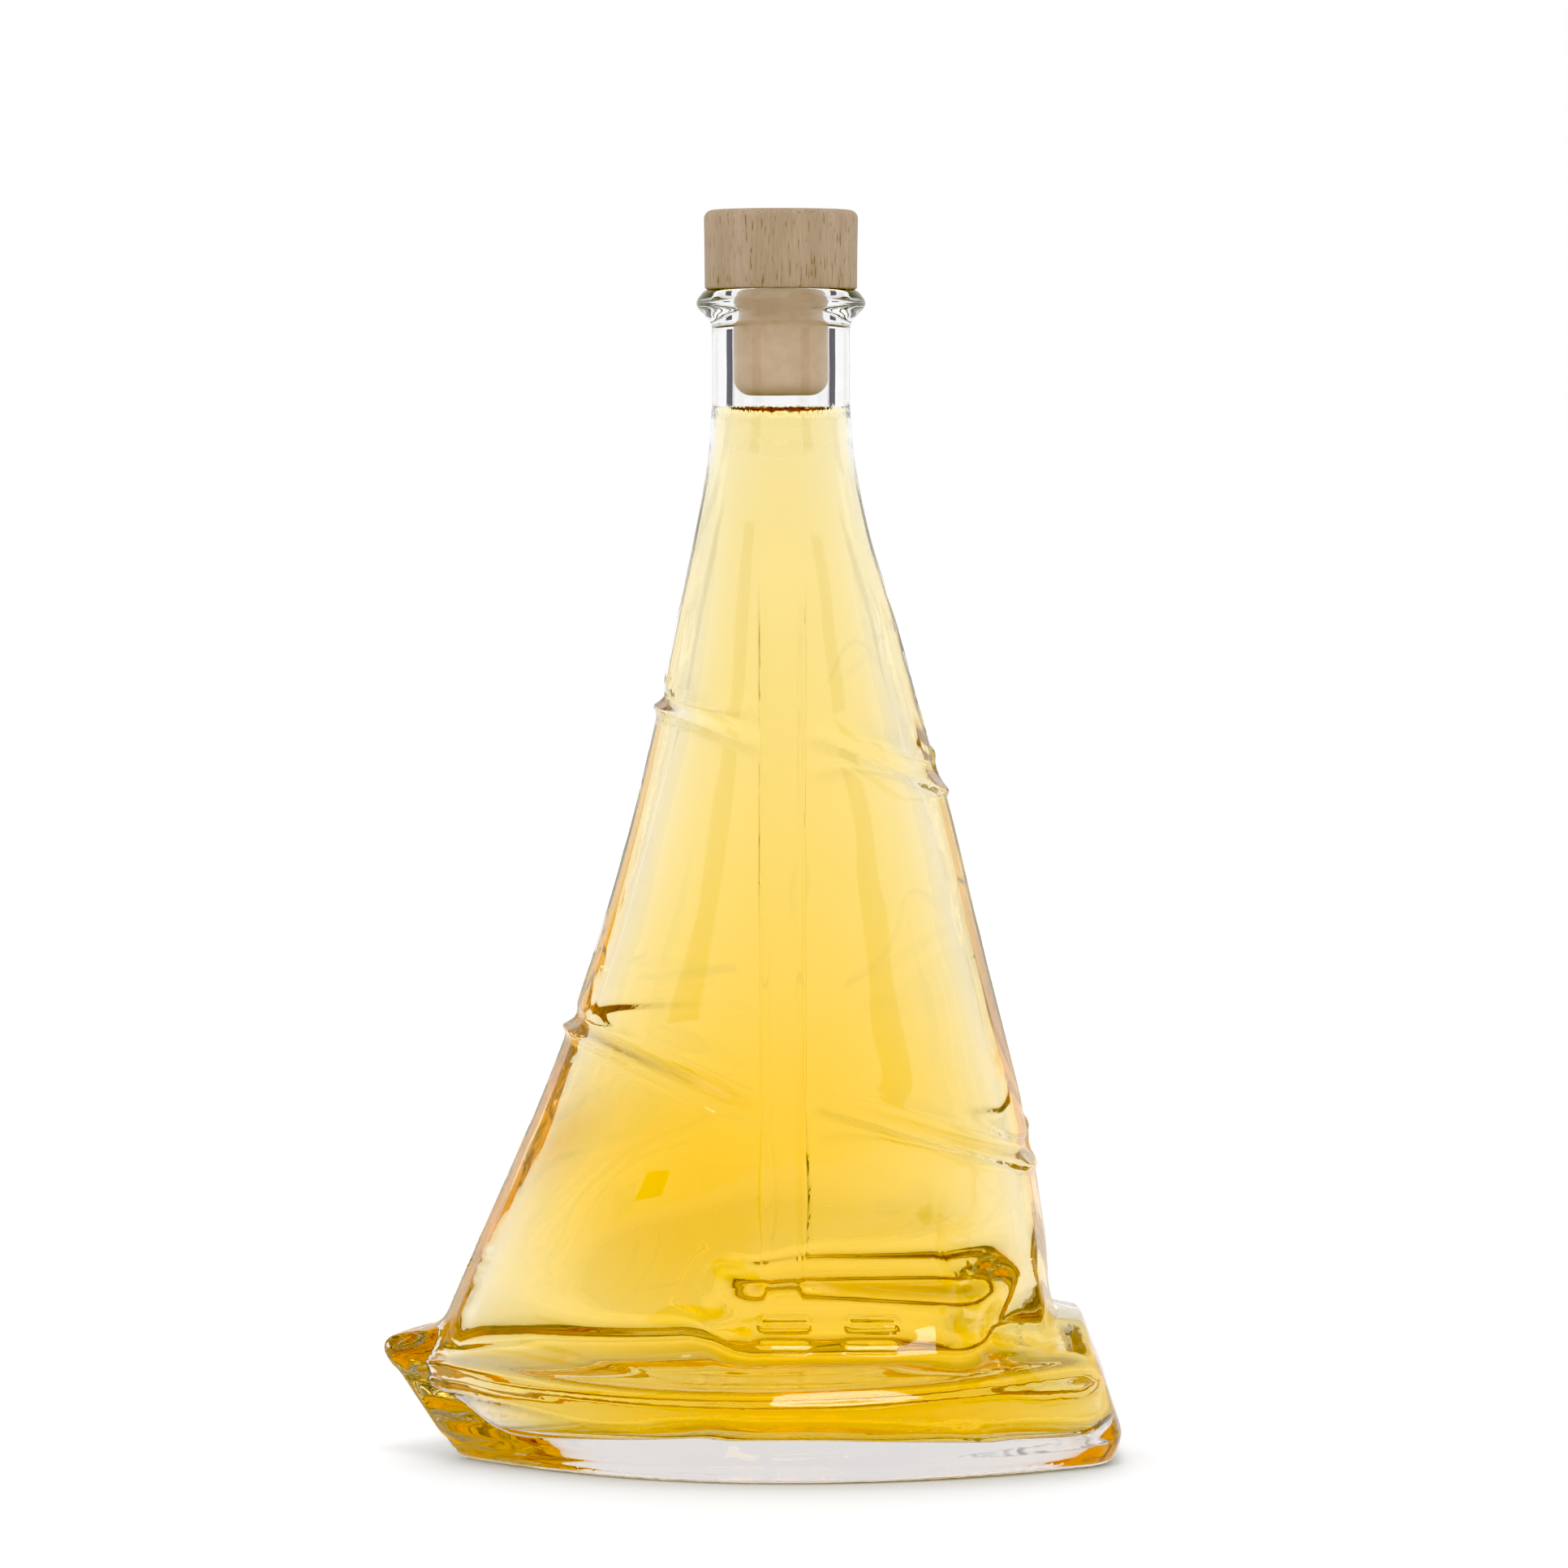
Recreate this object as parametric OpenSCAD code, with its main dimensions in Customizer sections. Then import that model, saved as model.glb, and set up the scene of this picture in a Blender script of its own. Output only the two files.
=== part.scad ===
// Sailing-boat bottle: a one-piece glass bottle with a hull, cabin, mast and two sails,
// filled with liqueur and closed by a turned wooden stopper.
// Millimetres. +Z up, -X towards the bow, the neck on the Z axis, the base on Z = 0.

/* [Glass] */
// Height of the glass from the table to the mouth
glass_h = 229.6; // [228:0.2:234]
// Widest half beam of the hull, at the gunwale
hull_beam = 36.4; // [34:0.2:38]
// Half beam of the foot the bottle stands on
foot_beam = 31; // [29:0.2:32]
// Wall thickness of the sails and the hull
wall = 3.3; // [2.6:0.1:3.6]
// Thickness of the solid base
floor_t = 8.5; // [7.5:0.25:10]
// Outside radius of the neck
neck_r = 13.45; // [13:0.05:14]
// Radius of the bore in the neck
bore_r = 9.35; // [9.35:0.05:9.6]

/* [Rigging] */
// Width of the mast ridge
mast_w = 7; // [5:0.5:8]
// How far the mast stands off the sails
mast_relief = 1.1; // [0.6:0.1:1.6]
// Width of the raised yards
yard_w = 1.6; // [1.2:0.1:2]

/* [Cabin] */
// Half width of the cabin across the boat
cabin_y = 27.5; // [24:0.5:28]
// Height of the cabin roof above the table
cabin_z = 35.4; // [33:0.2:36]
// Length of each window
window_l = 10.4; // [8:0.2:12]
// Height of each window
window_h = 4.8; // [3:0.2:5]
// Depth of each window
window_d = 0.7; // [0.4:0.1:1]

/* [Liquid] */
// Height of the liquid above the table
fill_z = 206; // [190:1:208]
// Gap kept between the liquid and the glass
skin = 0.04; // [0.02:0.01:0.08]

/* [Stopper] */
// Radius of the wooden head
head_r = 15; // [14:0.25:16]
// Height of the wooden head
head_h = 15.4; // [14:0.1:18]
// Radius of the rounded top edge of the head
head_edge = 1.7; // [1:0.1:2.5]
// Radius of the shank in the neck
shank_r = 9.3; // [9.25:0.01:9.3]
// Length of the shank below the mouth
shank_l = 21; // [18:0.5:21.5]
// Radius of the rounded end of the shank
shank_edge = 3.6; // [2:0.2:4]
// Radius of the spigot glued into the head
spigot_r = 6; // [5:0.25:7]
// Height of the spigot
spigot_h = 8; // [6:0.5:10]

/* [Hidden] */
$fn = 96;
H = 16;

// The side edges of the sails over height, measured from the neck's axis.
luff = [[12, -72], [27, -66.6], [46, -58.4], [71.5, -47.2], [97, -37.8], [129, -28.5],
        [167, -20], [188, -15.7], [198, -14.1], [205, -13.4]];
leech = [[12, 53], [40, 52.5], [52, 51], [66, 48.5], [104, 39], [129, 33],
         [148, 27.2], [167, 22], [180, 17.9], [190, 15.6], [198, 14.2], [205, 13.4]];
// Half thickness of the sails at the mast over height.
belly = [[12, 20.5], [30, 22], [40, 23.6], [56, 26.4], [72, 25.8], [90, 23], [127, 18.6],
         [150, 16.5], [180, 14.4], [205, 13.4]];
// Half thickness of the sails at their drafted side edges, and how far those edges sit in.
edge_fore = [[12, 9.5], [60, 10.4], [110, 9.2], [160, 8.6], [205, 9]];
edge_aft = [[12, 13], [30, 15.5], [60, 14], [110, 10.6], [160, 9], [205, 9]];
inset_fore = [[12, 2.6], [110, 2], [205, 1.8]];
inset_aft = [[12, 2.7], [110, 2.5], [205, 2]];
sail_z = [20, 26, 34, 42, 50, 58, 66, 74, 83, 92, 102, 112, 122, 132, 142, 152, 162,
          172, 182, 190, 198, 205];
// Where the side faces and the sail faces are sampled, from the aft edge to the fore edge.
across = [1, 0.5, 0, 0.9, 0.76, 0.6, 0.4, 0.2, 0, -0.2, -0.4, -0.6, -0.76, -0.9, 0, 0.5, 1];

// Hull: height of the gunwale and of the deck's middle line along the boat.
sheer = [[-80, 21.3], [-60, 20.4], [-20, 19.3], [20, 20], [62, 22.8]];
deck = [[-80, 21.6], [-77, 24], [-66, 26.2], [-40, 26], [-12, 25.2], [20, 25.4], [40, 27.4],
        [52, 29.4], [58, 28.8]];

function slope(t, i) =
    let (a = max(0, i - 1), b = min(len(t) - 1, i + 1))
    (t[b][1] - t[a][1]) / (t[b][0] - t[a][0]);
function span(x, t, i = 0) = (i >= len(t) - 2 || x < t[i + 1][0]) ? i : span(x, t, i + 1);
// Smooth curve through the points of a table.
function curve(x, t) =
    let (i = span(x, t), h = t[i + 1][0] - t[i][0], u = min(1, max(0, (x - t[i][0]) / h)))
    t[i][1] * (1 + 2 * u) * pow(1 - u, 2) + slope(t, i) * h * u * pow(1 - u, 2)
    + t[i + 1][1] * u * u * (3 - 2 * u) - slope(t, i + 1) * h * u * u * (1 - u);
function mix(a, b, t) = a + (b - a) * t;
function step(a, b, x) =
    let (u = min(1, max(0, (x - a) / (b - a)))) u * u * (3 - 2 * u);

// Half thickness of the sails at u across (1 aft edge, -1 fore edge) and height z.
function thick(u, z, w) =
    let (e = mix(curve(z, edge_fore), curve(z, edge_aft), (u + 1) / 2),
         puff = 5 * exp(-pow((u + 0.4) / 0.36, 2) - pow((z - 50) / 19, 2)))
    mix(e, curve(z, belly), pow(max(0, 1 - u * u), 0.62)) + puff - w;

function sail_point(j, z, w) =
    let (l = curve(z, luff) + w, r = curve(z, leech) - w,
         fi = curve(z, inset_fore), ai = curve(z, inset_aft),
         c = (r - ai + l + fi) / 2, a = (r - ai - l - fi) / 2)
    j < 3 ? [mix(r - ai, r, across[j]), -thick(1, z, w) * (1 - across[j])]
    : j > H - 3 ? [mix(l + fi, l, across[j]), -thick(-1, z, w) * (1 - across[j])]
    : [c + a * across[j], -thick(across[j], z, w)];

// One level of the sails: flat and drafted below, round where it meets the neck.
function sail_ring(z, w) =
    let (k = step(150, 200, z), v = w * mix(1, (neck_r - bore_r) / wall, step(180, 204, z)),
         l = curve(z, luff) + v, r = curve(z, leech) - v, y = curve(z, belly) - v - 0.05 * k,
         near = [for (j = [0 : H])
             let (p = sail_point(j, z, v), g = 180 * j / H)
             [mix(p[0], (l + r) / 2 + (r - l) / 2 * cos(g), k), mix(p[1], -y * sin(g), k), z]])
    both_sides(near);

function both_sides(near) =
    concat(near, [for (j = [len(near) - 2 : -1 : 1]) [near[j][0], -near[j][1], near[j][2]]]);

// Plan of the hull: half beam as a share of the widest, s from 0 at the bow to 1 aft.
function plan(s, mid, transom) =
    s < mid ? 1 - pow((mid - s) / mid, 2.1) : 1 - (1 - transom) * pow((s - mid) / (1 - mid), 2);
stations = [1, 0.996, 0.985, 0.95, 0.88, 0.8, 0.71, 0.62, 0.53, 0.44, 0.35, 0.27, 0.2, 0.135,
            0.08, 0.03, 0];
corner = [0, 0.72, 0.93, 1, 1, 1, 1, 1, 1, 1, 1, 1, 1, 1, 1, 1, 1];

// One level of the hull from bow x0 to transom x1; up goes 0 at the foot to 1 at the gunwale.
function hull_ring(x0, x1, beam, up, z, rise, inset) =
    let (mid = mix(0.5, 0.57, up), tr = mix(0.3, 0.58, up), a = x0 + inset * 1.6, b = x1 - inset,
         near = [for (j = [0 : H])
             let (x = mix(a, b, stations[j]),
                  y = max(0.1 * (H - j), (beam * plan(stations[j], mid, tr) - inset) * corner[j]))
             [x, j == 0 || j == H ? 0 : -y, z + rise * (curve(x, sheer) - 19)]])
    both_sides(near);

function deck_ring(x0, x1, beam, inset, share) =
    let (ring = hull_ring(x0, x1, beam, 1, 0, 0, inset))
    [for (p = ring) [p[0], p[1], mix(curve(p[0], sheer) + 2.2, curve(p[0], deck), share)]];

module loft(rings) {
    n = len(rings[0]);
    m = len(rings);
    walls = [for (i = [0 : m - 2]) for (j = [0 : n - 1])
        let (a = i * n + j, b = i * n + (j + 1) % n, c = b + n, d = a + n)
        each [[a, b, c], [a, c, d]]];
    ends = [for (j = [0 : n / 2 - 1])
        let (p = j, q = j + 1, r = (n - j - 1) % n, s = (n - j) % n)
        each [if (p != s) [p, s, r], if (q != r) [p, r, q]]];
    top = [for (f = ends) [for (k = [2, 1, 0]) f[k] + (m - 1) * n]];
    polyhedron(points = [for (r = rings) each r], faces = concat(ends, walls, top));
}

module hull_form() {
    loft([
        hull_ring(-63.5, 64.6, foot_beam - 1.2, 0, 0, 0, 0),
        hull_ring(-65, 66, foot_beam, 0, 1.3, 0, 0),
        hull_ring(-67.4, 66.6, foot_beam + 0.5, 0, 3.7, 0, 0),
        hull_ring(-68.2, 67, foot_beam + 1.1, 0.05, 4.2, 0.1, 0),
        hull_ring(-72.9, 64.9, mix(foot_beam, hull_beam, 0.55), 0.5, 10.5, 0.5, 0),
        hull_ring(-77.2, 62.9, hull_beam - 0.9, 0.95, 15.8, 0.9, 0),
        hull_ring(-78, 62.7, hull_beam, 1, 16.2, 1, 0),
        hull_ring(-79.3, 61.6, hull_beam, 1, 18.9, 1, 0),
        hull_ring(-79, 61.1, hull_beam - 0.8, 1, 19.5, 1, 0),
        hull_ring(-78.4, 60.6, hull_beam, 1, 19.8, 1, 2.4),
        deck_ring(-78, 60.2, hull_beam, 3.4, 0),
        deck_ring(-78, 59.5, hull_beam, 6, 0.3),
        deck_ring(-78, 59, hull_beam, 12, 0.75),
        deck_ring(-78, 58.8, hull_beam, 19, 1)
    ]);
}

module hull_cavity(w) {
    loft([
        hull_ring(-63, 62.5, foot_beam, 0.1, floor_t + w - wall, 0, w + 3.2),
        hull_ring(-66, 63.4, foot_beam + 1, 0.3, floor_t + w - wall + 2.4, 0, w + 0.8),
        hull_ring(-73, 62.4, hull_beam, 0.9, 15.2 - w + wall, 0.9, w + 0.4),
        hull_ring(-73, 61, hull_beam, 1, 18.4 - w + wall, 1, w + 3.4),
        hull_ring(-72, 59, hull_beam, 1, 20.6 - w + wall, 1, w + 8)
    ]);
}

module sails(w) {
    // The foot is drawn in, so it stays inside the hull at the bow.
    loft([for (z = sail_z) z < 24 ? [for (p = sail_ring(z, w)) [p[0] * 0.97, p[1] * 0.8, z]]
        : sail_ring(z, w)]);
}

module sail_cavity(w) {
    loft([for (z = sail_z) sail_ring(z < 24 ? 14 : z, w)]);
}

module mast() {
    loft([for (z = [30, 46, 62, 80, 100, 125, 150, 176])
        let (y = curve(z, belly) + mast_relief * step(186, 150, z), c = 0.25)
        [[c + mast_w / 2 + 0.1, 0, z], [c + mast_w / 2, 0.9 - y, z], [c + mast_w / 2 - 1.4, -y, z],
         [c - mast_w / 2 + 1.4, -y, z], [c - mast_w / 2, 0.9 - y, z], [c - mast_w / 2 - 0.1, 0, z],
         [c - mast_w / 2, y - 0.9, z], [c - mast_w / 2 + 1.4, y, z],
         [c + mast_w / 2 - 1.4, y, z], [c + mast_w / 2, y - 0.9, z]]]);
}

// A square bar from p to q.
module bar(p, q, w) {
    v = q - p;
    translate(p) rotate([0, acos(v[2] / norm(v)), atan2(v[1], v[0])])
        translate([-w / 2, -w / 2, -0.4]) cube([w, w, norm(v) + 0.8]);
}

// A raised yard on one side (-1 near, 1 far) from p to q, given as [x, z].
module yard(side, p, q) {
    n = 5;
    path = [for (i = [0 : n])
        let (x = mix(p[0], q[0], i / n), z = mix(p[1], q[1], i / n),
             l = curve(z, luff) + 2.5, r = curve(z, leech) - 2.5,
             u = max(-1, min(1, (2 * x - l - r) / (r - l))))
        [x, side * (thick(u, z, 0) - 0.2), z]];
    for (i = [0 : n - 1]) bar(path[i], path[i + 1], yard_w);
}

module rigging() {
    yard(-1, [-39.5, 85], [-3, 70]);
    yard(-1, [4.5, 74], [44, 61]);
    yard(-1, [-21.4, 147.8], [-3, 141]);
    yard(-1, [4.5, 144.5], [29.3, 133.5]);
    yard(1, [-39.5, 85], [-3, 85.3]);
    yard(1, [4.5, 63], [44, 66]);
    yard(1, [-21.4, 147.8], [-3, 146.4]);
    yard(1, [4.5, 134], [29, 139]);
}

// One level of the cabin, pulled in by i, with rounded upright corners.
function cabin_ring(z, i) =
    let (x0 = -11.5 + i, x1 = 39.5 - i, y = cabin_y - i, r = 5.2 - i * 0.5,
         near = concat([[x1 + 0.1, 0, z]],
             [for (g = [0, 30, 60, 90]) [x1 - r + r * cos(g), r - y - r * sin(g), z]],
             [for (g = [90, 60, 30, 0]) [x0 + r - r * cos(g), r - y - r * sin(g), z]],
             [[x0 - 0.1, 0, z]]))
    both_sides(near);

module cabin(i) {
    loft([cabin_ring(16, i), cabin_ring(cabin_z - i - 1.5, i), cabin_ring(cabin_z - i - 0.5, i + 0.5),
          cabin_ring(cabin_z - i, i + 1.5)]);
}

// Both windows on one side of the cabin.
module windows(side) {
    r = window_h / 2;
    for (x = [0.6, 17.4]) translate([x, side * cabin_y, 28.3]) {
        translate([r - window_l / 2, -window_d, -r]) cube([window_l - 2 * r, 2 * window_d, 2 * r]);
        for (e = [-1, 1]) translate([e * (window_l / 2 - r), window_d, 0])
            rotate([90, 0, 0]) cylinder(r = r, h = 2 * window_d);
    }
}

module neck() {
    t = glass_h;
    rotate_extrude() polygon([
        [0, 203], [neck_r, 203], [neck_r, t - 7.8], [neck_r + 0.8, t - 6.8],
        [neck_r + 2, t - 5.8], [neck_r + 2.9, t - 4.6], [neck_r + 3.05, t - 3.4],
        [neck_r + 2.5, t - 1.8], [neck_r + 1.7, t - 0.6], [neck_r + 1, t], [0, t]
    ]);
}

module glass_bottle() {
    color([0.93, 0.95, 0.94, 0.35]) difference() {
        union() {
            hull_form();
            sails(0);
            mast();
            rigging();
            cabin(0);
            neck();
        }
        union() {
            hull_cavity(wall);
            sail_cavity(wall);
            cabin(wall);
            translate([0, 0, 203]) cylinder(r = bore_r, h = glass_h - 202);
        }
        windows(-1);
        windows(1);
    }
}

module liquid() {
    w = wall + skin;
    color([0.96, 0.8, 0.3, 0.6]) union() {
        hull_cavity(w);
        sail_cavity(w);
        cabin(w);
        translate([0, 0, 200]) cylinder(r = bore_r - skin, h = fill_z - 200);
    }
}

module stopper_shank() {
    e = shank_edge;
    color([0.82, 0.69, 0.56]) translate([0, 0, glass_h - shank_l]) {
        rotate_extrude() {
            translate([shank_r - e, e]) intersection() {
                circle(r = e);
                translate([0, -e]) square([e, e]);
            }
            square([shank_r - e, e]);
            translate([0, e]) square([shank_r, shank_l - e]);
        }
        translate([0, 0, shank_l - 1]) cylinder(r = spigot_r - 0.02, h = spigot_h + 0.5);
    }
}

module stopper_head() {
    e = head_edge;
    color([0.72, 0.62, 0.51]) translate([0, 0, glass_h]) rotate_extrude() difference() {
        union() {
            translate([head_r - e, head_h - e]) intersection() {
                circle(r = e);
                square([e, e]);
            }
            translate([0, head_h - e]) square([head_r - e, e]);
            square([head_r, head_h - e]);
        }
        translate([-1, -1]) square([spigot_r + 1, spigot_h + 1]);
    }
}

glass_bottle();
liquid();
stopper_shank();
stopper_head();
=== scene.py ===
"""Sailing-boat bottle: looks. The shape functions work in millimetres. The bow is at -X."""

import math

import bmesh
import bpy
import numpy as np
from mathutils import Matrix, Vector


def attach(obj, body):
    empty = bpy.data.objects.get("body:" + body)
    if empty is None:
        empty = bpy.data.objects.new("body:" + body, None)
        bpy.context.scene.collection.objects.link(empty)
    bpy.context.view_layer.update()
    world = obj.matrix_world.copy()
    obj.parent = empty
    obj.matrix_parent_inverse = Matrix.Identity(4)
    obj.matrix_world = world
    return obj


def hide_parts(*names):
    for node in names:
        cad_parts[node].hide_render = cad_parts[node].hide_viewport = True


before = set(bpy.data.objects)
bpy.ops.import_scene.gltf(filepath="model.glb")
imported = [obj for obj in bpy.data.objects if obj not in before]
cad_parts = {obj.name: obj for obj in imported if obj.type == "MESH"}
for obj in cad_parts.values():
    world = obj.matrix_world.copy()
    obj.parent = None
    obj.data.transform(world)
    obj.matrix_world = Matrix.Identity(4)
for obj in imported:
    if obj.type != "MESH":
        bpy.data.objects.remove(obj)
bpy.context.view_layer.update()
MM = 0.001
COARSE = 1.0

# ---------------------------------------------------------------- shape of the glass
LUFF = [(12, -72), (27, -66.6), (46, -58.4), (71.5, -47.2), (97, -37.8), (129, -28.5),
        (167, -20), (188, -15.7), (198, -14.1), (205, -13.45), (240, -13.45)]
LEECH = [(12, 53), (40, 52.5), (52, 51), (66, 48.5), (104, 39), (129, 33), (148, 27.2),
         (167, 22), (180, 17.9), (190, 15.6), (198, 14.2), (205, 13.45), (240, 13.45)]
BELLY = [(12, 20.5), (30, 22), (40, 23.6), (56, 26.4), (72, 25.8), (90, 23), (127, 18.6),
         (150, 16.5), (180, 14.4), (205, 13.45), (240, 13.45)]
EDGE_FORE = [(12, 9.5), (60, 10.4), (110, 9.2), (160, 8.6), (205, 9)]
EDGE_AFT = [(12, 13), (30, 15.5), (60, 14), (110, 10.6), (160, 9), (205, 9)]
INSET_FORE = [(12, 2.6), (110, 2), (205, 1.8)]
INSET_AFT = [(12, 2.7), (110, 2.5), (205, 2)]
SHEER = [(-80, 21.3), (-60, 20.4), (-20, 19.3), (20, 20), (62, 22.8)]
DECK = [(-80, 21.6), (-77, 24), (-66, 26.4), (-40, 26), (-12, 25.2), (20, 25.4), (40, 27.4),
        (52, 29.6), (58, 29)]
# hull levels: height, bow x, transom x, half beam, outside and at the cavity
LEVELS = np.array([(-2, -64, 65, 30.2), (0, -64.6, 65.4, 30.5), (3.2, -66.9, 66.6, 31.5),
                   (5.2, -69, 66.9, 32.4), (10.5, -72.9, 64.9, 34), (15.3, -76.6, 63.1, 35.5),
                   (16.6, -78, 62.6, 36.3), (19, -79.3, 61.6, 36.4), (24, -79.6, 59.8, 36.4),
                   (32, -79.6, 57, 36.4)], float)
HOLLOW = np.array([(0, -55, 66, 31), (10.5, -62, 64.9, 34), (19, -67.5, 61.6, 36),
                   (32, -68.5, 57, 36.2)], float)
# creases between the sail tiers: side, end at the edge and end at the mast as (x, z), height
CREASES = [(-1, (-39.5, 84.6), (-3, 70), 1.0), (-1, (44, 61), (4.5, 74), 1.0),
           (-1, (-21.4, 147.2), (-3, 141), 0.8), (-1, (29.3, 133.5), (4.5, 144.5), 0.8),
           (1, (-39.5, 85.4), (-3, 85.2), 0.5), (1, (44, 66), (4.5, 62), 0.5),
           (1, (-21.4, 148), (-3, 146.4), 0.5), (1, (29, 139), (4.5, 134), 0.5)]
# ends of the mesh grid along the hull (height, fore, aft), and its half width over height
HULL_ENDS = np.array([(-3, -68.5, 70), (5, -71.5, 70), (12, -77, 68), (19, -81.5, 66),
                      (26, -81.5, 63), (34, -75, 58.5), (44, -63, 56)], float)
GRID_WIDTH = [(34, 39.5), (46, 36), (60, 33), (84, 28.5), (110, 24.5), (150, 20.5), (188, 18),
              (240, 18)]
GRID_FORE, GRID_AFT, GRID_HALF = -82, 69, 39.5
MAST_X, MAST_U, MAST_ROOM = 0.3, -1.8, 5
CABIN_X, CABIN_HALF_X, CABIN_HALF_Y, CABIN_CORNER, ROOF = 14, 25.5, 28, 7, 35.5
WINDOWS, WINDOW_Z, SILL_Z = (0.6, 17.4), 30.8, 26.6
BORE, NECK, GLASS_H = 9.35, 13.45, 229.6
WALL, HULL_WALL, FOOT = 3.3, 3.9, 7.2
GUNWALE = 2.1
FILL = 206.0
LIQUID_GAP = 0.09
NORMAL_REACH = 0.25


def curve(x, table):
    t = np.array(table, float)
    a, b = t[:, 0], t[:, 1]
    m = np.empty_like(b)
    m[1:-1] = (b[2:] - b[:-2]) / (a[2:] - a[:-2])
    m[0], m[-1] = (b[1] - b[0]) / (a[1] - a[0]), (b[-1] - b[-2]) / (a[-1] - a[-2])
    i = np.clip(np.searchsorted(a, x, "right") - 1, 0, len(a) - 2)
    h = a[i + 1] - a[i]
    u = np.clip((x - a[i]) / h, 0, 1)
    return (b[i] * (1 + 2 * u) * (1 - u) ** 2 + m[i] * h * u * (1 - u) ** 2
            + b[i + 1] * u * u * (3 - 2 * u) - m[i + 1] * h * u * u * (1 - u))


def step(a, b, x):
    u = np.clip((x - a) / (b - a), 0, 1)
    return u * u * (3 - 2 * u)


def mix(a, b, t):
    return a + (b - a) * t


def smax(a, b, k):
    h = np.clip(0.5 + 0.5 * (a - b) / k, 0, 1)
    return b + (a - b) * h + k * h * (1 - h)


def smin(a, b, k):
    return -smax(-a, -b, k)


def thickness(x, z, w):
    """Half thickness of the sails at (x, z) for a wall drawn in by w."""
    hollow = np.where(w > 0, 1.0, 0.0)
    gap = w + 0.3 * hollow
    l, r = curve(z, LUFF) + curve(z, INSET_FORE) + gap, curve(z, LEECH) - curve(z, INSET_AFT) - gap
    u = np.clip((2 * x - l - r) / (r - l), -1, 1)
    e = mix(curve(z, EDGE_FORE), curve(z, EDGE_AFT), (u + 1) / 2)
    e = mix(e, 0.4 * e + w, hollow)
    puff = (5 * np.exp(-((u + 0.4) / 0.36) ** 2 - ((z - 50) / 19) ** 2)
            - 2.2 * np.exp(-((x + 6.5) / 6.5) ** 2 - ((z - 37) / 9) ** 2))
    lens = 1 - np.abs(u) ** mix(2.2, 2.6, hollow)
    return e + (curve(z, BELLY) - e) * lens + puff - w


def sails(x, y, z, w, k):
    """The sails drawn in by w, their faces and edges blended over k, round near the neck."""
    v = w * mix(1, (NECK - BORE) / WALL, step(180, 203, z)) if w else 0 * z
    ay = np.abs(y)
    t = thickness(x, z, v)
    tx = (thickness(x + 0.6, z, v) - thickness(x - 0.6, z, v)) / 1.2
    tz = (thickness(x, z + 0.6, v) - thickness(x, z - 0.6, v)) / 1.2
    face = (ay - t) / np.sqrt(1 + np.minimum(tx * tx, 6) + tz * tz)
    edge = v * mix(0.72, 1, step(150, 200, z))
    l, r = curve(z, LUFF) + edge, curve(z, LEECH) - edge
    f1, f2 = curve(z, INSET_FORE) / curve(z, EDGE_FORE), curve(z, INSET_AFT) / curve(z, EDGE_AFT)
    fore = (l + f1 * ay - x) / np.sqrt(1.12 + f1 * f1)
    aft = (x - r + f2 * ay) / np.sqrt(1.08 + f2 * f2)
    flat = smax(smax(face, fore, k), aft, k)
    a, b = (r - l) / 2, curve(z, BELLY) - v
    lens = (np.sqrt(((x - (l + r) / 2) / a) ** 2 + (y / b) ** 2) - 1) * np.minimum(a, b)
    return mix(flat, lens, step(146, 202, z))


def creases(x, y, z):
    """Raised folds where one tier of sail ends, strongest at the outer edges."""
    out = 0.0
    for side, p, q, height in CREASES:
        dx, dz = q[0] - p[0], q[1] - p[1]
        n = math.hypot(dx, dz)
        t = ((x - p[0]) * dx + (z - p[1]) * dz) / n
        s = ((z - p[1]) * dx - (x - p[0]) * dz) / n * (1 if dx > 0 else -1)
        share = step(-2.5, 2.5, side * y)
        end = 0.8 * np.exp(-(np.maximum(t, 0) / 4.5) ** 2)
        fade = step(n + 1, n - 4, t)
        wide = mix(1.1, 1.9, np.clip(t / n, 0, 1))
        groove = 0.6 * step(n - 3, n - 16, t)
        fold = (np.exp(-(s / wide) ** 2)
                - groove * np.exp(-((s - 2.4 * wide) / (1.4 * wide)) ** 2))
        out = out + share * height * (0.95 + 0.7 * end) * fade * fold * step(-9, -5, t)
    return out


def mast(x, z):
    """How far the mast's flat band stands out of the sails."""
    across = step(4.1, 2.6, np.abs(x - MAST_X))
    return 0.85 * across * step(34.5, 37.5, z) * step(184, 160, z)


def half_beam(x, z, levels=LEVELS):
    """Half beam of the hull, with the heights following the sheer."""
    up = np.clip(z / 19, 0, 1)
    lift = z - up * (curve(x, SHEER) - 19)
    bow, aft, beam = (curve(lift, levels[:, [0, k]]) for k in (1, 2, 3))
    s = (x - bow) / (aft - bow)
    mid, end = mix(0.5, 0.57, up), mix(0.3, 0.58, up)
    fore_plan = 1 - np.abs((mid - s) / mid) ** 2.1
    aft_plan = 1 - (1 - end) * ((s - mid) / (1 - mid)) ** 2
    return beam * np.where(s < mid, fore_plan, aft_plan), aft


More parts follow.
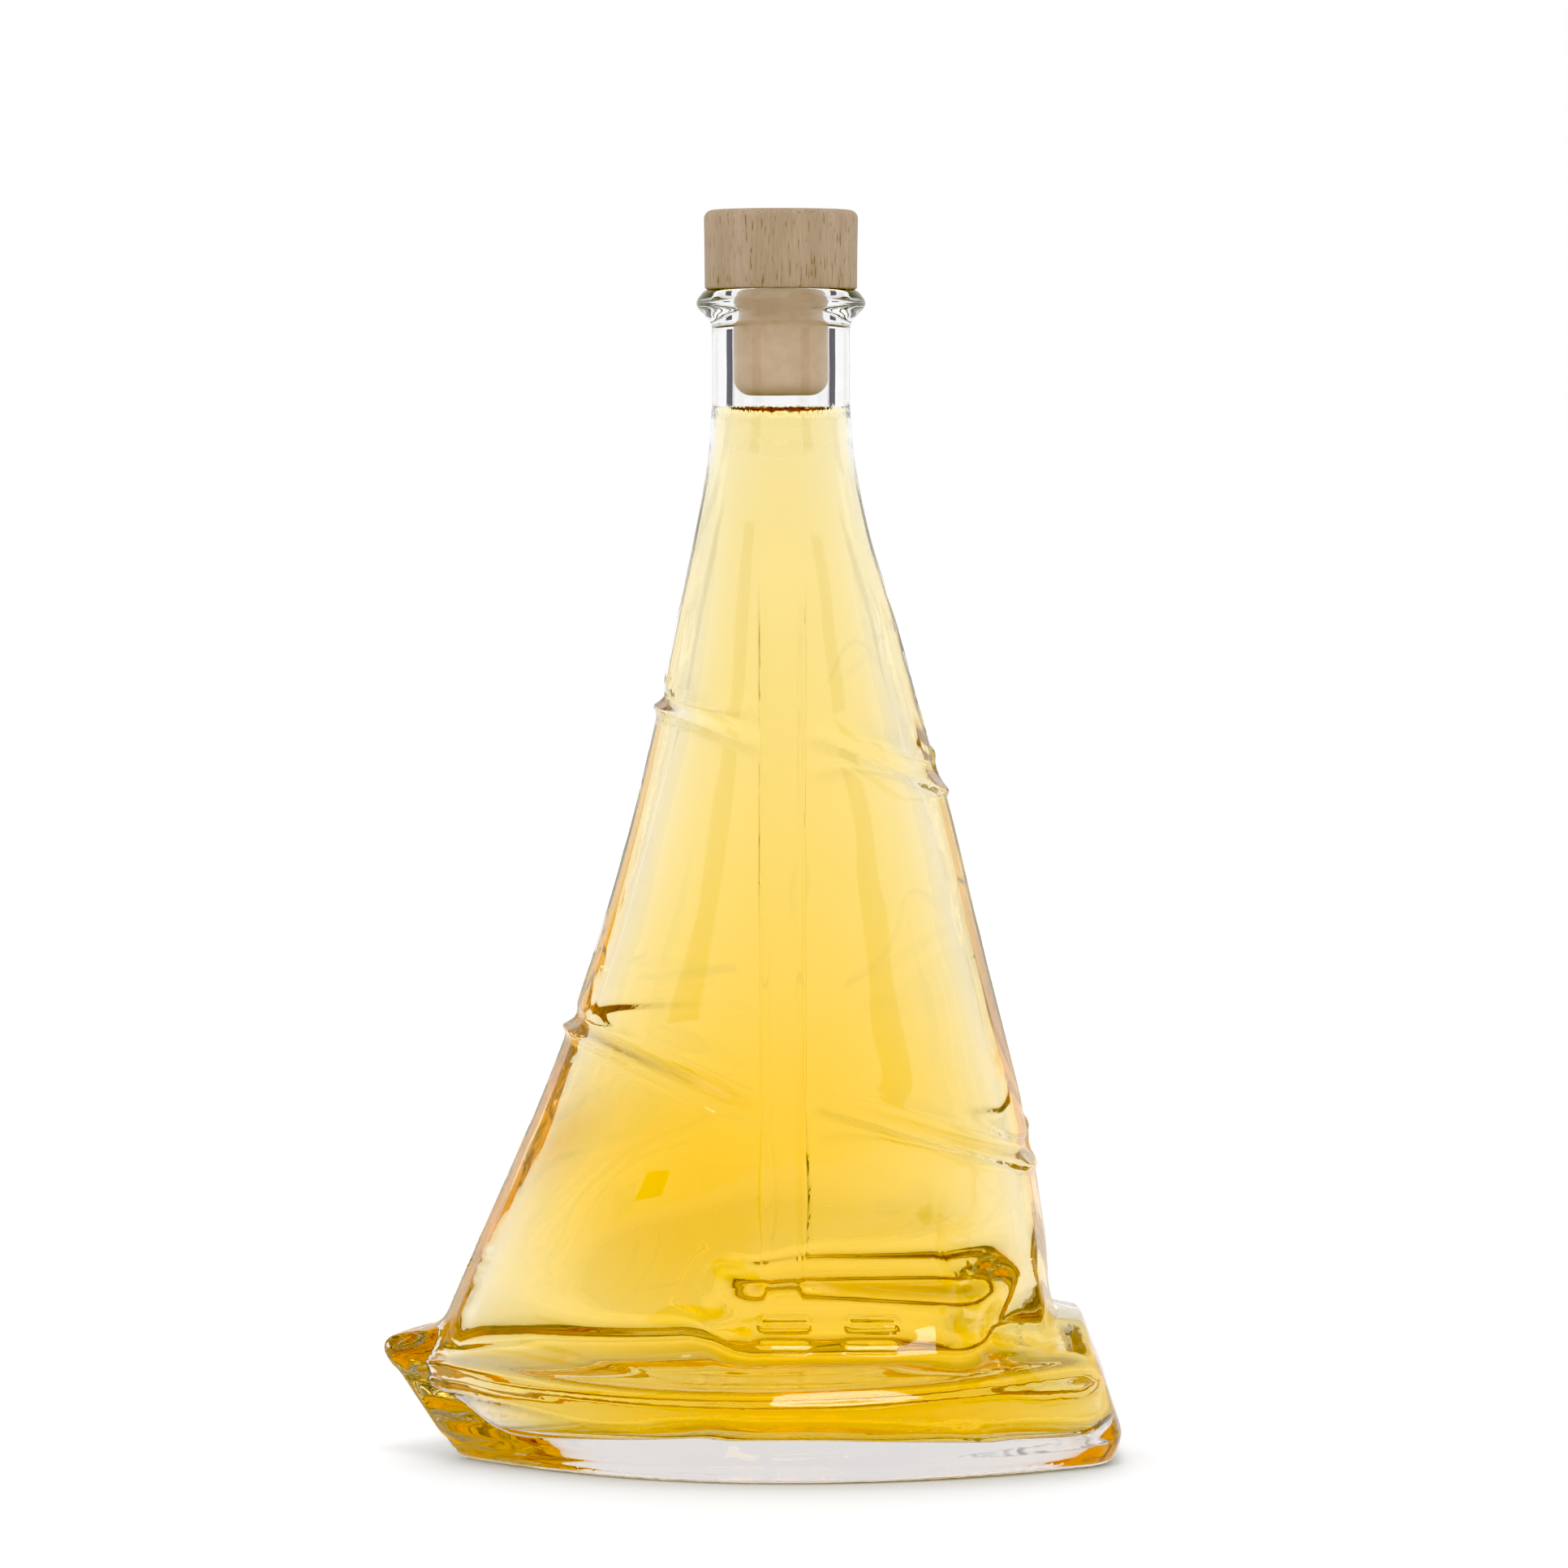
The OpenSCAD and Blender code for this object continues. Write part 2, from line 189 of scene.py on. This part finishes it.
def hull(x, y, z, w, floor, roof):
    """The hull drawn in by w, above floor and, for the cavity, roof below the deck."""
    levels = HOLLOW if w else LEVELS
    b, aft = half_beam(x, z, levels)
    bx = half_beam(x + 0.5, z, levels)[0] - half_beam(x - 0.5, z, levels)[0]
    ay = np.sqrt(y * y + 1.2)
    side = (ay - b) / np.sqrt(1 + np.minimum(bx * bx, 4)) + w
    transom = x - aft + 0.0022 * y * y + w
    body = smax(side, transom, 5)
    g, _ = half_beam(x, 19 + 0 * z)
    g = np.maximum(g, 1)
    v = 1 - np.clip(np.abs(y) / g, 0, 1.5)
    q = v * np.maximum(g, 14)
    top = curve(x, SHEER)
    rise = curve(x, DECK) - top
    if w:
        deck = top + rise * step(0.05, 0.5, v) - roof - 5 * step(40, 52, x)
    else:
        deck = top + GUNWALE * step(0.6, 5.5, q) + (rise - GUNWALE) * step(0.12, 0.5, v)
    blend = 5 if w else 1.6
    return smax(smax(body, (z - deck) * 0.9, blend), floor - z, blend)


def cabin(x, y, z, w):
    """The cabin. The roof is flat outside; inside it rises from the walls up into the sails."""
    dx = np.abs(x - CABIN_X) - (CABIN_HALF_X - w) + CABIN_CORNER
    dy = np.abs(y) - (CABIN_HALF_Y - w) + CABIN_CORNER
    wall = (np.sqrt(np.maximum(dx, 0) ** 2 + np.maximum(dy, 0) ** 2)
            + np.minimum(np.maximum(dx, dy), 0) - CABIN_CORNER)
    if w:
        roof = (z - ROOF + 1.3 * w - np.clip(-wall, 0, 12)) / 1.41
        return smax(smax(wall, roof, 7), 12 - z, 2)
    return smax(smax(wall, z - ROOF, 4), 12 - z, 2)


def windows(x, y, z):
    """How far each window's oval groove sits in, less how far the sill below it stands out."""
    out = 0.0
    for cx in WINDOWS:
        end = np.maximum(np.abs(x - cx) - 3.9, 0)
        oval = np.sqrt(end ** 2 + (z - WINDOW_Z) ** 2) - 0.9
        sill = np.exp(-end ** 2 - ((z - SILL_Z) / 0.5) ** 2)
        out = out + 0.4 * np.exp(-(oval / 0.5) ** 2) - 0.35 * sill
    return out * (step(-21, -25, y) + 0.4 * step(21, 25, y))


def neck(x, y, z):
    """The neck's tube and the bead under the lip, still without the bore."""
    rad = np.sqrt(x * x + y * y)
    wall = curve(z, [(190, NECK), (221, NECK), (223, 13.7), (224.5, 14.9), (225.9, 16.15),
                     (226.9, 16.5), (227.9, 16.15), (228.9, 15.4), (GLASS_H, 15), (240, 15)])
    return smax(smax((rad - wall) * 0.85, z - GLASS_H, 0.9), 198 - z, 0.5)


def fillet(x, z, edge, foot, face):
    """Blend radius round the sails: at their side edges, at their foot and above the cabin."""
    return mix(edge, mix(foot, face, step(29, 36, z)), step(-67, -54, x) * step(56, 48, x))


def outside(x, y, z):
    """The outer face of the glass, as if it were solid."""
    rig = sails(x, y, z, 0, 1.8) - creases(x, y, z) - mast(x, z)
    rig = smax(smax(rig, z - 206, 0.5), 21.5 - z, 1)
    house = cabin(x, y, z, 0) + windows(x, y, z)
    low = smin(hull(x, y, z, 0, 0, 0), house, 3)
    return smin(smin(low, rig, fillet(x, z, 3, 8, 12)), neck(x, y, z), 0.6)


def wave(x, y, z):
    """Slow unevenness of the blown inner wall."""
    return (0.12 * np.sin(x * 0.13 + z * 0.07 + 1.0) * np.sin(z * 0.09 - y * 0.1)
            + 0.03 * np.sin(x * 0.31 - z * 0.21 + 0.4)
            + 0.012 * np.sin(z * 0.4 + y * 0.3 + x * 0.1))


def inside(x, y, z):
    """The cavity, bore included."""
    rig = smax(smax(sails(x, y, z, WALL, 5.5), z - 205, 0.5), 15 - z, 3)
    low = hull(x, y, z, HULL_WALL, FOOT + 2.8 * np.exp(-(x / 32) ** 2), 3.4)
    house = cabin(x, y, z, WALL)
    blown = (smin(smin(low, house, 8), rig, fillet(x, z, 6, 9, 14))
             + wave(x, y, z) * step(204, 190, z))
    rad = np.sqrt(x * x + y * y)
    tube = rad - BORE - 0.03 * (1 + np.sin(z * 0.5 + x * 0.1)) * step(229, 222, z)
    return smin(blown, smax(tube, 200 - z, 1), 1.2)


def glass(x, y, z):
    return smax(outside(x, y, z), -inside(x, y, z), 0.5)


def liquid(x, y, z):
    """The cavity up to the level, which climbs a little at the glass."""
    rad = np.sqrt(x * x + y * y)
    level = FILL - 1.3 + 2.4 * np.exp(-np.maximum(BORE - rad, 0) / 1.6)
    return smax(inside(x, y, z) - LIQUID_GAP, (z - level) * 0.85, 0.9)


# ---------------------------------------------------------------- surface of a shape
def gradient(f, p, h=0.04):
    g = np.empty_like(p)
    for k in range(3):
        d = np.zeros(3)
        d[k] = h
        a, b = p + d, p - d
        g[:, k] = (f(a[:, 0], a[:, 1], a[:, 2]) - f(b[:, 0], b[:, 1], b[:, 2])) / (2 * h)
    return g


def length(v):
    return np.maximum(np.linalg.norm(v, axis=1, keepdims=True), 1e-9)


def axis(lo, hi, base, zones=()):
    """Grid lines from lo to hi, closer together inside the zones (start, end, spacing)."""
    grid = [lo]
    while grid[-1] < hi or (len(grid) - 1) % 4:
        at = grid[-1]
        gaps = [mix(base, gap, step(a - 4, a, at) * step(b + 4, b, at)) for a, b, gap in zones]
        grid.append(at + COARSE * min([base] + gaps))
    return np.array(grid)


def place(u, v, w):
    """Real position of the grid point (u, v, w): lines follow the sail edges, mast and sheer."""
    room = 2.3 + 2.1 * step(205, 218, w)
    up = step(34, 48, w)
    fore = mix(curve(w, HULL_ENDS[:, :2]), curve(w, LUFF) - room, up)
    aft = mix(curve(w, HULL_ENDS[:, [0, 2]]), curve(w, LEECH) + room + 0.7, up)
    a, b = MAST_U - MAST_ROOM, MAST_U + MAST_ROOM
    x = np.where(u < a, mix(fore, MAST_X - MAST_ROOM, (u - GRID_FORE) / (a - GRID_FORE)),
                 np.where(u > b, mix(MAST_X + MAST_ROOM, aft, (u - b) / (GRID_AFT - b)),
                          MAST_X + u - MAST_U))
    lift = (curve(x, SHEER) - 19) * np.clip(w / 19, 0, 1) * step(46, 30, w)
    return x, v * curve(w, GRID_WIDTH) / GRID_HALF, w + lift


def sampled(shape, ax):
    """The shape on the grid. Blocks of 4 cells that the surface can't reach only get its sign."""
    def f(u, v, w):
        return shape(*place(u, v, w))
    block = [a[::4] for a in ax]
    fc = f(block[0][:, None, None], block[1][None, :, None], block[2][None, None, :])
    near = np.full([len(b) - 1 for b in block], 1e9)
    for i in (0, 1):
        for j in (0, 1):
            for k in (0, 1):
                near = np.minimum(near, np.abs(fc[i:i + near.shape[0], j:j + near.shape[1],
                                                  k:k + near.shape[2]]))
    dx, dy, dz = (np.diff(b) for b in block)
    reach = 1 + 0.7 * np.sqrt(dx[:, None, None] ** 2 + dy[None, :, None] ** 2
                              + 1.6 * dz[None, None, :] ** 2)
    active = near < reach
    v = np.where(fc[:-1, :-1, :-1] < 0, -9.0, 9.0)
    for k in range(3):
        v, active = np.repeat(v, 4, k), np.repeat(active, 4, k)
    v = np.pad(v, [(0, 1)] * 3, "edge")
    wide = np.zeros(v.shape, bool)
    for i in (0, 1):
        for j in (0, 1):
            for k in (0, 1):
                wide[i:i + active.shape[0], j:j + active.shape[1], k:k + active.shape[2]] |= active
    at = np.argwhere(wide)
    for i in range(0, len(at), 400000):
        c = at[i:i + 400000]
        v[tuple(c.T)] = f(ax[0][c[:, 0]], ax[1][c[:, 1]], ax[2][c[:, 2]])
    return v


def surface(f, ax):
    """Quads, points and normals of f = 0, one point in each cell that the surface crosses."""
    v = sampled(f, ax)
    neg = v < 0
    low = np.ones([n - 1 for n in v.shape], bool)
    high = np.zeros_like(low)
    corner = [(i, j, k) for i in (0, 1) for j in (0, 1) for k in (0, 1)]
    for c in corner:
        part = neg[tuple(slice(c[m], v.shape[m] - 1 + c[m]) for m in range(3))]
        low &= part
        high |= part
    cells = np.argwhere(high & ~low)
    index = np.full(low.shape, -1, np.int64)
    index[tuple(cells.T)] = np.arange(len(cells))
    total, count = np.zeros((len(cells), 3)), np.zeros(len(cells))
    for a in corner:
        for k in range(3):
            if a[k]:
                continue
            b = list(a)
            b[k] = 1
            va, vb = v[tuple((cells + a).T)], v[tuple((cells + b).T)]
            on = (va < 0) != (vb < 0)
            p = np.tile(np.array(a, float), (len(cells), 1))
            p[:, k] = np.where(on, va / np.where(on, va - vb, 1), 0)
            total += p * on[:, None]
            count += on
    inner = total / count[:, None]
    size = np.stack([np.diff(a)[cells[:, k]] for k, a in enumerate(ax)], 1)
    pts = np.stack([a[cells[:, k]] for k, a in enumerate(ax)], 1) + inner * size
    ahead, behind = place(*(pts + 0.5).T), place(*(pts - 0.5).T)
    size *= np.abs(np.stack(ahead, 1) - np.stack(behind, 1))
    pts = np.stack(place(*pts.T), 1)
    quads = []
    for k in range(3):
        e1, e2 = [(1, 2), (2, 0), (0, 1)][k]
        sl = [slice(0 if m == k else 1, v.shape[m] - 1) for m in range(3)]
        nxt = [slice(1, v.shape[m]) if m == k else sl[m] for m in range(3)]
        a, b = neg[tuple(sl)], neg[tuple(nxt)]
        where = np.argwhere(a != b)
        inward = a[tuple(where.T)]
        base = where + np.array([0 if m == k else 1 for m in range(3)])
        d1, d2 = np.eye(3, dtype=int)[e1], np.eye(3, dtype=int)[e2]
        q = np.stack([index[tuple((base - d1 - d2).T)], index[tuple((base - d2).T)],
                      index[tuple(base.T)], index[tuple((base - d1).T)]], 1)
        q[~inward] = q[~inward][:, ::-1]
        quads.append(q)
    quads = np.concatenate(quads)
    limit = 0.4 * size.min(1, keepdims=True)
    for _ in range(4):
        g = gradient(f, pts)
        d = f(*pts.T)[:, None] * g / np.maximum((g * g).sum(1), 0.05)[:, None]
        pts -= d * np.minimum(1, limit / length(d))
    g = gradient(f, pts, NORMAL_REACH)
    return quads, pts, g / length(g)


def add(name, data):
    ob = bpy.data.objects.new(name, data)
    bpy.context.scene.collection.objects.link(ob)
    return ob


def shape_object(name, f, ax):
    quads, pts, normals = surface(f, ax)
    me = bpy.data.meshes.new(name)
    me.vertices.add(len(pts))
    me.vertices.foreach_set("co", (pts * MM).ravel())
    me.loops.add(quads.size)
    me.loops.foreach_set("vertex_index", quads.ravel())
    me.polygons.add(len(quads))
    me.polygons.foreach_set("loop_start", np.arange(len(quads)) * 4)
    me.update(calc_edges=True)
    me.polygons.foreach_set("use_smooth", np.ones(len(quads), bool))
    me.normals_split_custom_set_from_vertices(normals.tolist())
    return add(name, me)


# ---------------------------------------------------------------- materials
def material(name):
    m = bpy.data.materials.new(name)
    m.use_nodes = True
    nt = m.node_tree
    return m, nt, nt.nodes["Principled BSDF"], nt.nodes["Material Output"]


def node(nt, kind, **values):
    n = nt.nodes.new(kind)
    for key, value in values.items():
        if hasattr(n, key):
            setattr(n, key, value)
        else:
            n.inputs[key.replace("_", " ")].default_value = value
    return n


def clear(name, ior, colour, density, wave_size, wave_depth):
    """A clear material that takes its colour by absorption, with a faint wave in its surface."""
    m, nt, bsdf, out = material(name)
    bsdf.inputs["Base Color"].default_value = (1, 1, 1, 1)
    bsdf.inputs["Transmission Weight"].default_value = 1
    bsdf.inputs["IOR"].default_value = ior
    co = node(nt, "ShaderNodeTexCoord")
    n = node(nt, "ShaderNodeTexNoise", Scale=wave_size, Detail=2.0)
    nt.links.new(co.outputs["Object"], n.inputs["Vector"])
    r = node(nt, "ShaderNodeMapRange")
    r.inputs["From Min"].default_value = 0.45
    r.inputs["From Max"].default_value = 0.85
    r.inputs["To Min"].default_value = 0.0
    r.inputs["To Max"].default_value = 0.02
    nt.links.new(n.outputs["Fac"], r.inputs["Value"])
    nt.links.new(r.outputs["Result"], bsdf.inputs["Roughness"])
    b = node(nt, "ShaderNodeBump", Strength=1.0, Distance=wave_depth)
    nt.links.new(n.outputs["Fac"], b.inputs["Height"])
    nt.links.new(b.outputs["Normal"], bsdf.inputs["Normal"])
    a = nt.nodes.new("ShaderNodeVolumeAbsorption")
    a.inputs["Color"].default_value = (*colour, 1)
    a.inputs["Density"].default_value = density
    nt.links.new(a.outputs["Volume"], out.inputs["Volume"])
    return m


glass_mat = clear("bottle_glass", 1.5, (0.62, 0.58, 0.6), 9.0, 60.0, 0.000008)
liquid_mat = clear("liqueur", 1.36, (0.974, 0.782, 0.01), 45.5, 40.0, 0.000005)


def ramp(nt, *stops):
    r = nt.nodes.new("ShaderNodeValToRGB")
    e = r.color_ramp.elements
    while len(e) < len(stops):
        e.new(0.5)
    for k, (at, c) in zip(e, stops):
        k.position = at
        k.color = (*c, 1)
    return r


def wood(name):
    """Beech: a soft broad figure, fine lines up and down, and short dark flecks."""
    m, nt, bsdf, out = material(name)
    co = node(nt, "ShaderNodeTexCoord")
    mp = node(nt, "ShaderNodeMapping")
    mp.inputs["Scale"].default_value = (1, 1, 0.07)
    nt.links.new(co.outputs["Object"], mp.inputs["Vector"])
    fine = node(nt, "ShaderNodeTexNoise", Scale=2600.0, Detail=3.0, Roughness=0.6)
    nt.links.new(mp.outputs["Vector"], fine.inputs["Vector"])
    broad = node(nt, "ShaderNodeTexNoise", Scale=130.0, Detail=2.0)
    nt.links.new(mp.outputs["Vector"], broad.inputs["Vector"])
    base = ramp(nt, (0.3, (0.374, 0.281, 0.228)), (0.7, (0.445, 0.34, 0.28)))
    nt.links.new(broad.outputs["Fac"], base.inputs["Fac"])
    lines = ramp(nt, (0.35, (0.9, 0.89, 0.88)), (0.6, (1.03, 1.02, 1.02)))
    nt.links.new(fine.outputs["Fac"], lines.inputs["Fac"])
    mul = node(nt, "ShaderNodeMix", data_type="RGBA", blend_type="MULTIPLY")
    mul.inputs[0].default_value = 1.0
    nt.links.new(base.outputs["Color"], mul.inputs[6])
    nt.links.new(lines.outputs["Color"], mul.inputs[7])
    dash_map = node(nt, "ShaderNodeMapping")
    dash_map.inputs["Scale"].default_value = (1, 1, 0.09)
    nt.links.new(co.outputs["Object"], dash_map.inputs["Vector"])
    dash = node(nt, "ShaderNodeTexNoise", Scale=3100.0, Detail=1.0)
    nt.links.new(dash_map.outputs["Vector"], dash.inputs["Vector"])
    fleck = ramp(nt, (0.645, (0, 0, 0)), (0.7, (1, 1, 1)))
    nt.links.new(dash.outputs["Fac"], fleck.inputs["Fac"])
    dark = node(nt, "ShaderNodeMix", data_type="RGBA")
    dark.inputs[7].default_value = (0.24, 0.15, 0.1, 1)
    nt.links.new(fleck.outputs["Color"], dark.inputs[0])
    nt.links.new(mul.outputs[2], dark.inputs[6])
    nt.links.new(dark.outputs[2], bsdf.inputs["Base Color"])
    bsdf.inputs["Roughness"].default_value = 0.62
    b = node(nt, "ShaderNodeBump", Strength=0.35, Distance=0.00006)
    nt.links.new(fine.outputs["Fac"], b.inputs["Height"])
    nt.links.new(b.outputs["Normal"], bsdf.inputs["Normal"])
    return m


def cork(name):
    """The shank's foamed plastic."""
    m, nt, bsdf, out = material(name)
    co = node(nt, "ShaderNodeTexCoord")
    n = node(nt, "ShaderNodeTexNoise", Scale=420.0, Detail=4.0)
    nt.links.new(co.outputs["Object"], n.inputs["Vector"])
    c = ramp(nt, (0.35, (0.81, 0.6, 0.455)), (0.65, (0.89, 0.66, 0.505)))
    nt.links.new(n.outputs["Fac"], c.inputs["Fac"])
    nt.links.new(c.outputs["Color"], bsdf.inputs["Base Color"])
    bsdf.inputs["Roughness"].default_value = 0.55
    b = node(nt, "ShaderNodeBump", Strength=0.2, Distance=0.00005)
    nt.links.new(n.outputs["Fac"], b.inputs["Height"])
    nt.links.new(b.outputs["Normal"], bsdf.inputs["Normal"])
    return m


# ---------------------------------------------------------------- pieces
bottle = shape_object("bottle", glass, [
    axis(GRID_FORE, GRID_AFT, 1.9,
         [(-82, -72, 1.25), (-15, 27, 1.0), (-7.5, 4, 0.75), (60, 69, 1.25)]),
    axis(-GRID_HALF, GRID_HALF, 1.4),
    axis(-2, 231, 1.8,
         [(0, 36, 0.95), (24, 33, 0.55), (60, 88, 1.0), (131, 151, 1.0), (218, 232, 0.7)])])
bottle.data.materials.append(glass_mat)
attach(bottle, "bottle")
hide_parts("glass_bottle")

drink = shape_object("liqueur", liquid, [
    axis(GRID_FORE, GRID_AFT, 2.0, [(-10, 6, 1.1)]), axis(-GRID_HALF, GRID_HALF, 1.4),
    axis(4, 209, 2.0, [(6, 36, 1.2), (202, 209, 0.3)])])
drink.data.materials.append(liquid_mat)
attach(drink, "bottle")
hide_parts("liquid")


def turned(name, profile, body, mat, n=128):
    """A closed turned piece from (radius, height) points, both ends on the axis."""
    verts, faces = [], []
    rows = len(profile)
    for r, z in profile[1:-1]:
        for i in range(n):
            a = 2 * math.pi * i / n
            verts.append((r * MM * math.cos(a), r * MM * math.sin(a), z * MM))
    verts += [(0, 0, profile[0][1] * MM), (0, 0, profile[-1][1] * MM)]
    for k in range(rows - 3):
        for i in range(n):
            j = (i + 1) % n
            faces.append((k * n + i, k * n + j, (k + 1) * n + j, (k + 1) * n + i))
    for i in range(n):
        j = (i + 1) % n
        faces.append((len(verts) - 2, j, i))
        faces.append((len(verts) - 1, (rows - 3) * n + i, (rows - 3) * n + j))
    me = bpy.data.meshes.new(name)
    me.from_pydata(verts, [], faces)
    me.shade_smooth()
    ob = add(name, me)
    me.materials.append(mat)
    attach(ob, body)
    return ob


def arc(cr, cz, r, a, b, n):
    """n + 1 points round (cr, cz), from a to b degrees."""
    return [(cr + r * math.cos(math.radians(mix(a, b, i / n))),
             cz + r * math.sin(math.radians(mix(a, b, i / n)))) for i in range(n + 1)]


head = turned("stopper_head_wood",
              [(0, 237.4), (5.9, 237.4)] + [(5.98, 237.3), (5.99, 229.9), (6.2, 229.62)]
              + [(14.1, 229.62)] + arc(14.4, 230.07, 0.45, -90, 0, 4) + [(14.9, 237)]
              + arc(13.3, 243.3, 1.7, 0, 90, 10) + [(8, 245.0), (0, 245.0)],
              "stopper", wood("beech_wood"))
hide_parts("stopper_head")
shank = turned("stopper_shank_cork",
               [(0, 209), (3, 209)] + arc(5.7, 212.6, 3.6, -90, 0, 12)
               + [(9.3, 216), (9.3, 229.5), (9.2, 229.6), (5.99, 229.6), (5.97, 229.9),
                  (5.96, 237.0), (5.6, 237.3), (0, 237.3)],
               "stopper", cork("cork_shank"))
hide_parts("stopper_shank")

# ---------------------------------------------------------------- set
scene = bpy.context.scene
scene.view_settings.view_transform = "Standard"
scene.view_settings.use_curve_mapping = True
scene.view_settings.curve_mapping.black_level = (0.065, 0.065, 0.12)
scene.view_settings.curve_mapping.update()
scene.cycles.max_bounces = 24
scene.cycles.transmission_bounces = 24
scene.cycles.glossy_bounces = 12
scene.cycles.transparent_max_bounces = 24
world = bpy.data.worlds.new("studio")
scene.world = world
world.use_nodes = True
backdrop = world.node_tree.nodes["Background"]
backdrop.inputs["Color"].default_value = (1, 1, 1, 1)
backdrop.inputs["Strength"].default_value = 1.0

fm, fnt, fb, _ = material("pale_floor")
fb.inputs["Base Color"].default_value = (1, 1, 1, 1)
fb.inputs["Roughness"].default_value = 1.0
fb.inputs["Specular IOR Level"].default_value = 0.0
fb.inputs["Emission Color"].default_value = (1, 1, 1, 1)
fb.inputs["Emission Strength"].default_value = 0.02
bpy.ops.mesh.primitive_plane_add(size=30, location=(0, 0, -0.0002))
floor = bpy.context.object
floor.name = "floor"
floor.data.materials.append(fm)
floor.visible_glossy = False


def glow(name, strength, colour=(1, 1, 1)):
    m = bpy.data.materials.new(name)
    m.use_nodes = True
    nt = m.node_tree
    nt.nodes.remove(nt.nodes["Principled BSDF"])
    e = node(nt, "ShaderNodeEmission", Strength=strength, Color=(*colour, 1))
    nt.links.new(e.outputs[0], nt.nodes["Material Output"].inputs["Surface"])
    return m


def only_in(ob, *kinds):
    """Seen by these kinds of ray alone: it shapes what the glass shows and nothing else."""
    for kind in ("camera", "diffuse", "glossy", "transmission", "volume_scatter", "shadow"):
        setattr(ob, "visible_" + kind, kind in kinds)


# dark strips round the bottle at neck height, which give the clear glass its dark lines
STRIP_AWAY, STRIP_UP = 0.9, 0.26
strip = glow("dark_strip", 0.12, (0.85, 0.78, 1.4))
for angle in (53, -53, 127, -127):
    a = math.radians(angle)
    at = (STRIP_AWAY * math.sin(a), -STRIP_AWAY * math.cos(a), STRIP_UP)
    bpy.ops.mesh.primitive_plane_add(size=1, location=at)
    flag = bpy.context.object
    flag.name = "flag_%d" % angle
    flag.scale = (0.33, 0.2, 1)
    flag.rotation_euler = (math.pi / 2, 0, a)
    flag.data.materials.append(strip)
    only_in(flag, "transmission")

# the dim side of the room, which the front of the glass mirrors
bpy.ops.mesh.primitive_uv_sphere_add(segments=48, ring_count=24, radius=4, location=(0, 0, 0))
room = bpy.context.object
room.name = "dim_room"
bm = bmesh.new()
bm.from_mesh(room.data)
bmesh.ops.delete(bm, geom=[v for v in bm.verts if v.co.y > 0.01], context="VERTS")
bm.to_mesh(room.data)
bm.free()
room.data.materials.append(glow("dim_room", 0.16, (1, 0.97, 1.25)))
only_in(room, "glossy")

# a card above it, which the top of the bead mirrors
bpy.ops.mesh.primitive_plane_add(size=0.9, location=(-0.3, -0.3, 1.3))
card = bpy.context.object
card.name = "top_card"
card.data.materials.append(glow("top_card", 1.0))
only_in(card, "glossy")


def aimed(name, data, at, aim):
    ob = add(name, data)
    ob.location = at
    ob.rotation_euler = (Vector(aim) - Vector(at)).to_track_quat("-Z", "Y").to_euler()
    return ob


soft = bpy.data.lights.new("key", "AREA")
soft.shape = "SQUARE"
soft.size = 0.7
soft.energy = 7
key = aimed("key", soft, (0.1, -0.9, 1.6), (0, 0, 0.1))
key.visible_glossy = False

SENSOR = 36
VIEW_AWAY, VIEW_WIDE = 1.1893, 0.3072
camera = aimed("camera", bpy.data.cameras.new("camera"), (0.0006, -1.187, 0.207),
               (0.0006, 0, 0.133))
camera.data.sensor_width = SENSOR
camera.data.lens = SENSOR * VIEW_AWAY / VIEW_WIDE
camera.data.clip_end = 50
scene.camera = camera
